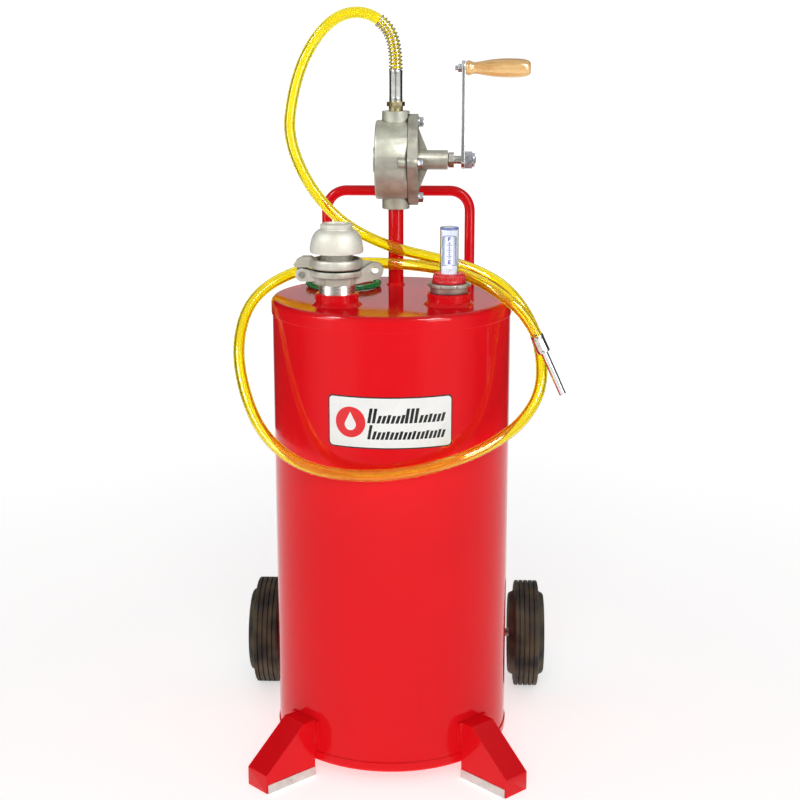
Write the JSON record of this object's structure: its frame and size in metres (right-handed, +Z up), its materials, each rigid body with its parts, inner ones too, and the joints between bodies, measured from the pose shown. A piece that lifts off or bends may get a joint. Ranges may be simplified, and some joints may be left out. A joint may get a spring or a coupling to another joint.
{
  "type": "drum caddy with rotary hand pump",
  "caption": "Wheeled steel drum caddy with a rotary hand-crank barrel pump, vented fill cap, level gauge and yellow dispensing hose.",
  "frame": {"origin": "on the floor, under the middle of the machine from the front feet to the back of the wheels and from wheel to wheel, leaving out the hose", "axes": "+Z up along the drum, -Y towards the label and the two feet, +Y towards the wheels and the handle, +X towards the crank"},
  "size_m": [0.5771, 0.583, 1.2874],
  "materials": {
    "tank_paint": "gloss powder coat, bright red",
    "cart_paint": "gloss powder coat, bright red",
    "label_film": "white printed film with a black border",
    "foot_strip": "mill finish",
    "wheel_steel": "pale grey paint",
    "tyre_rubber": "moulded black rubber",
    "axle_steel": "zinc plated",
    "pump_casting": "as cast, fine sand texture",
    "cover_casting": "as cast, darker",
    "gasket_fibre": "pressed fibre",
    "zinc_fasteners": "bright zinc plating",
    "shaft_steel": "turned and ground",
    "rotor_iron": "machined",
    "vane_plastic": "moulded composite",
    "packing_fibre": "braided packing",
    "packing_nut_steel": "machined",
    "crank_steel": "bright plating",
    "grip_wood": "varnished pale pine",
    "nipple_steel": "machined",
    "cap_casting": "as cast, tumbled",
    "dome_casting": "as cast, pale",
    "cap_pin_steel": "plain",
    "cap_gasket": "moulded",
    "gauge_zinc": "cast zinc, dull",
    "gauge_red_plastic": "moulded, ribbed",
    "vial_clear": "clear acrylic",
    "scale_film": "white strip with blue ticks",
    "gauge_inner": "plain",
    "float_rubber": "closed-cell foam",
    "suction_steel": "plain",
    "hose_pvc": "translucent yellow",
    "ferrule_zinc": "bright zinc, crimped",
    "fitting_brass": "machined",
    "spring_steel": "drawn wire",
    "nozzle_steel": "polished tube",
    "wire_green": "green insulation",
    "wire_hardware": "plated"
  },
  "bodies": {
    "tank": {"drum_shell": "tank_paint", "bottom_head": "tank_paint", "top_head": "tank_paint", "fill_bung": "tank_paint", "gauge_bung": "tank_paint", "riser_pipe": "tank_paint", "left_foot": "cart_paint", "right_foot": "cart_paint", "rear_handle": "cart_paint", "handle_brackets": "cart_paint", "axle_brackets": "cart_paint", "front_label": "label_film", "foot_pads": "foot_strip", "pad_rivets": "foot_strip", "axle": "axle_steel", "axle_fasteners": "axle_steel", "pump_body": "pump_casting", "pump_cover": "cover_casting", "cover_gasket": "gasket_fibre", "cover_bolts": "zinc_fasteners", "shaft_packing": "packing_fibre", "packing_nut": "packing_nut_steel", "fill_nipple": "nipple_steel", "fill_body": "cap_casting", "hinge_pin": "cap_pin_steel", "fill_gasket": "cap_gasket", "gauge_bushing": "gauge_zinc", "gauge_collar": "gauge_red_plastic", "gauge_vial": "vial_clear", "gauge_scale": "scale_film", "gauge_stem": "gauge_inner", "suction_tube": "suction_steel", "suction_strainer": "suction_steel", "hose": "hose_pvc", "hose_ferrule": "ferrule_zinc", "nozzle_ferrule": "ferrule_zinc", "hose_fitting": "fitting_brass", "spring_guard": "spring_steel", "nozzle_tube": "nozzle_steel", "ground_wire": "wire_green", "ground_clamp": "wire_hardware", "ground_terminal": "wire_hardware", "ground_stud": "wire_hardware"},
    "crank": {"pump_shaft": "shaft_steel", "pump_rotor": "rotor_iron", "pump_vanes": "vane_plastic", "crank_arm": "crank_steel", "crank_nut": "zinc_fasteners", "grip_bolt": "zinc_fasteners"},
    "grip": {"wood_grip": "grip_wood"},
    "lid": {"fill_lid": "cap_casting", "vent_dome": "dome_casting"},
    "vent": {"vent_valve": "cap_pin_steel"},
    "left_wheel": {"left_wheel_hub": "wheel_steel", "left_tyre": "tyre_rubber"},
    "right_wheel": {"right_wheel_hub": "wheel_steel", "right_tyre": "tyre_rubber"},
    "float": {"float_arm": "gauge_inner", "gauge_float": "float_rubber"},
    "indicator": {"gauge_indicator": "gauge_red_plastic"}
  },
  "joints": [
    {"name": "crank_turn", "type": "hinge", "parent": "tank", "child": "crank", "pos_m": [0.1, 0.05493, 1.0295], "axis": [1, 0, 0], "continuous": true},
    {"name": "grip_spin", "type": "hinge", "parent": "crank", "child": "grip", "pos_m": [0.178, 0.05493, 1.1855], "axis": [1, 0, 0], "continuous": true},
    {"name": "lid_hinge", "type": "hinge", "parent": "tank", "child": "lid", "pos_m": [-0.1425, -0.14307, 0.8605], "axis": [0, -1, 0], "range_deg": [0, 105]},
    {"name": "vent_lift", "type": "slide", "parent": "lid", "child": "vent", "axis": [0, 0, 1], "range_m": [0, 0.004]},
    {"name": "left_wheel_spin", "type": "hinge", "parent": "tank", "child": "left_wheel", "pos_m": [-0.2493, 0.18993, 0.1016], "axis": [1, 0, 0], "continuous": true},
    {"name": "right_wheel_spin", "type": "hinge", "parent": "tank", "child": "right_wheel", "pos_m": [0.2493, 0.18993, 0.1016], "axis": [1, 0, 0], "continuous": true},
    {"name": "float_swing", "type": "hinge", "parent": "tank", "child": "float", "pos_m": [0.12, -0.13207, 0.43], "axis": [0, 1, 0], "range_deg": [0, 110]},
    {"name": "gauge_rise", "type": "slide", "parent": "tank", "child": "indicator", "axis": [0, 0, 1], "range_m": [0, 0.046]}
  ],
  "couplings": [
    {"joint": "gauge_rise", "follows": "float_swing", "m_per_rad": 0.0239}
  ]
}
